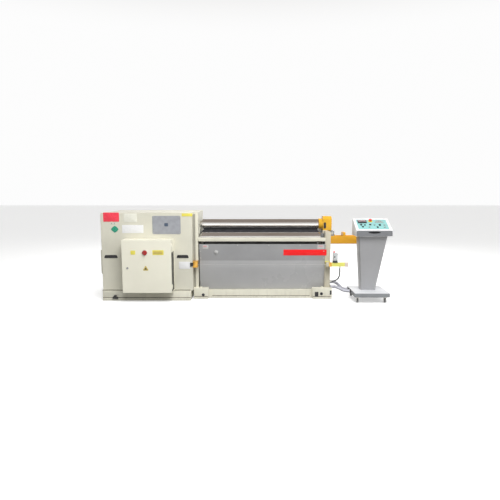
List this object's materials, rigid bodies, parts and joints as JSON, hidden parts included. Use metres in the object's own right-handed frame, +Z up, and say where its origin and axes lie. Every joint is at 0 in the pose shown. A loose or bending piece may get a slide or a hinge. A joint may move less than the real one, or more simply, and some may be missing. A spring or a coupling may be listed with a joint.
{
  "type": "plate rolling machine",
  "caption": "Hydraulic four-roll plate bending machine with drive casing, electrical cabinet, hinged drop end and a mobile operator's console.",
  "frame": {"origin": "on the floor under the middle of the rolls, at the underside of the bed's middle cross member, below the top roll's axis", "axes": "+X along the rolls towards the drop end, -Y towards the operator, +Z up"},
  "size_m": [3.61, 1.1583, 1.11],
  "materials": {
    "cream_paint": "satin cream paint",
    "grey_panel": "satin grey paint",
    "motor_paint": "satin blue-grey paint",
    "zinc_plate": "zinc plated",
    "red_plastic": "glossy red",
    "dark_steel": "blackened steel",
    "cast_grey": "machined and painted casting",
    "roll_steel": "ground and polished",
    "yellow_paint": "orange-yellow paint",
    "safety_yellow": "light yellow paint",
    "black_rubber": "matte rubber",
    "black_plastic": "matte black",
    "switch_grey": "matte light grey",
    "conduit_grey": "matte corrugated plastic",
    "console_grey": "satin grey",
    "console_white": "satin white",
    "turquoise_panel": "satin membrane"
  },
  "bodies": {
    "machine": {"bed_frame": "cream_paint", "drive_side_frame": "cream_paint", "idle_side_frame": "cream_paint", "front_tie_beam": "cream_paint", "rear_tie_beam": "cream_paint", "front_guard_panel": "grey_panel", "rear_guard_panel": "grey_panel", "casing_plinth": "cream_paint", "casing_front_cover": "cream_paint", "casing_rear_cover": "cream_paint", "casing_end_cover": "cream_paint", "casing_top_cover": "cream_paint", "top_gearmotor": "motor_paint", "hydraulic_power_unit": "motor_paint", "cabinet_shell": "cream_paint", "cabinet_mounting_plate": "zinc_plate", "pinch_cylinder_left": "dark_steel", "pinch_cylinder_right": "dark_steel", "front_side_cylinder_left": "dark_steel", "front_side_cylinder_right": "dark_steel", "rear_side_cylinder_left": "dark_steel", "rear_side_cylinder_right": "dark_steel", "drop_end_hinge_bracket": "cast_grey", "drop_end_rest_beam": "yellow_paint", "drop_end_cylinder": "dark_steel", "drop_end_hose": "black_rubber", "wire_anchor": "black_plastic", "wire_arm": "safety_yellow", "trip_wire": "zinc_plate", "rope_switch": "switch_grey", "upper_conduit": "conduit_grey", "lower_conduit": "conduit_grey", "console_base": "console_grey", "console_column": "console_grey", "console_head": "console_white", "console_panel": "turquoise_panel"},
    "top_roll_body": {"top_roll": "roll_steel"},
    "pinch_carriage": {"pinch_block_left": "cast_grey", "pinch_block_right": "cast_grey", "pinch_gearmotor": "motor_paint"},
    "pinch_roll_body": {"pinch_roll": "roll_steel"},
    "front_carriage": {"front_side_block_left": "cast_grey", "front_side_block_right": "cast_grey"},
    "front_roll_body": {"front_side_roll": "roll_steel"},
    "rear_carriage": {"rear_side_block_left": "cast_grey", "rear_side_block_right": "cast_grey"},
    "rear_roll_body": {"rear_side_roll": "roll_steel"},
    "drop_end_body": {"drop_end_housing": "yellow_paint"},
    "ram_body": {"drop_end_ram": "roll_steel"},
    "door_body": {"cabinet_door": "cream_paint"},
    "main_switch_body": {"main_switch": "red_plastic"},
    "emergency_stop_body": {"emergency_stop": "red_plastic"},
    "selector_body": {"selector_knob": "black_plastic"},
    "start_button_body": {"start_button": "black_plastic"},
    "fork_left_body": {"front_castor_fork_left": "cast_grey"},
    "fork_right_body": {"front_castor_fork_right": "cast_grey"},
    "front_wheel_left_body": {"front_castor_wheel_left": "black_rubber"},
    "front_wheel_right_body": {"front_castor_wheel_right": "black_rubber"},
    "rear_wheel_left_body": {"rear_castor_wheel_left": "black_rubber"},
    "rear_wheel_right_body": {"rear_castor_wheel_right": "black_rubber"}
  },
  "joints": [
    {"name": "top_roll_spin", "type": "hinge", "parent": "machine", "child": "top_roll_body", "pos_m": [0, 0, 0.939], "axis": [1, 0, 0], "continuous": true},
    {"name": "pinch_lift", "type": "slide", "parent": "machine", "child": "pinch_carriage", "axis": [0, 0, 1], "range_m": [-0.04, 0.012]},
    {"name": "pinch_roll_spin", "type": "hinge", "parent": "pinch_carriage", "child": "pinch_roll_body", "pos_m": [0, 0, 0.795], "axis": [1, 0, 0], "continuous": true},
    {"name": "front_roll_lift", "type": "slide", "parent": "machine", "child": "front_carriage", "axis": [0, 0.2079, 0.9781], "range_m": [-0.04, 0.12]},
    {"name": "front_roll_spin", "type": "hinge", "parent": "front_carriage", "child": "front_roll_body", "pos_m": [0, -0.17, 0.775], "axis": [1, 0, 0], "continuous": true},
    {"name": "rear_roll_lift", "type": "slide", "parent": "machine", "child": "rear_carriage", "axis": [0, -0.2079, 0.9781], "range_m": [-0.04, 0.12]},
    {"name": "rear_roll_spin", "type": "hinge", "parent": "rear_carriage", "child": "rear_roll_body", "pos_m": [0, 0.17, 0.775], "axis": [1, 0, 0], "continuous": true},
    {"name": "drop_end_swing", "type": "hinge", "parent": "machine", "child": "drop_end_body", "pos_m": [0.957, 0, 0.818], "axis": [0, 1, 0], "range_deg": [0, 90]},
    {"name": "drop_end_ram_slide", "type": "slide", "parent": "machine", "child": "ram_body", "axis": [-1, 0, 0], "range_m": [0, 0.0778]},
    {"name": "cabinet_door_swing", "type": "hinge", "parent": "machine", "child": "door_body", "pos_m": [-1.099, -0.65, 0.4495], "axis": [0, 0, 1], "range_deg": [0, 120]},
    {"name": "main_switch_turn", "type": "hinge", "parent": "door_body", "child": "main_switch_body", "pos_m": [-1.42, -0.65, 0.632], "axis": [0, -1, 0], "range_deg": [0, 90]},
    {"name": "emergency_stop_push", "type": "slide", "parent": "machine", "child": "emergency_stop_body", "axis": [0, 0.4819, -0.8762], "range_m": [0, 0.005]},
    {"name": "selector_turn", "type": "hinge", "parent": "machine", "child": "selector_body", "pos_m": [1.227, -0.53955, 0.96147], "axis": [0, -0.4819, 0.8762], "range_deg": [-45, 45]},
    {"name": "start_button_push", "type": "slide", "parent": "machine", "child": "start_button_body", "axis": [0, 0.4819, -0.8762], "range_m": [0, 0.003], "stiffness_N_per_m": 400},
    {"name": "front_castor_swivel_left", "type": "hinge", "parent": "machine", "child": "fork_left_body", "pos_m": [1.195, -0.605, 0.076], "axis": [0, 0, 1], "continuous": true},
    {"name": "front_castor_swivel_right", "type": "hinge", "parent": "machine", "child": "fork_right_body", "pos_m": [1.535, -0.605, 0.076], "axis": [0, 0, 1], "continuous": true},
    {"name": "front_wheel_spin_left", "type": "hinge", "parent": "fork_left_body", "child": "front_wheel_left_body", "pos_m": [1.195, -0.591, 0.029], "axis": [1, 0, 0], "continuous": true},
    {"name": "front_wheel_spin_right", "type": "hinge", "parent": "fork_right_body", "child": "front_wheel_right_body", "pos_m": [1.535, -0.591, 0.029], "axis": [1, 0, 0], "continuous": true},
    {"name": "rear_wheel_spin_left", "type": "hinge", "parent": "machine", "child": "rear_wheel_left_body", "pos_m": [1.195, -0.221, 0.029], "axis": [1, 0, 0], "continuous": true},
    {"name": "rear_wheel_spin_right", "type": "hinge", "parent": "machine", "child": "rear_wheel_right_body", "pos_m": [1.535, -0.221, 0.029], "axis": [1, 0, 0], "continuous": true}
  ],
  "couplings": [
    {"joint": "pinch_roll_spin", "follows": "top_roll_spin", "ratio": -1},
    {"joint": "drop_end_ram_slide", "follows": "drop_end_swing", "m_per_rad": 0.049518}
  ]
}
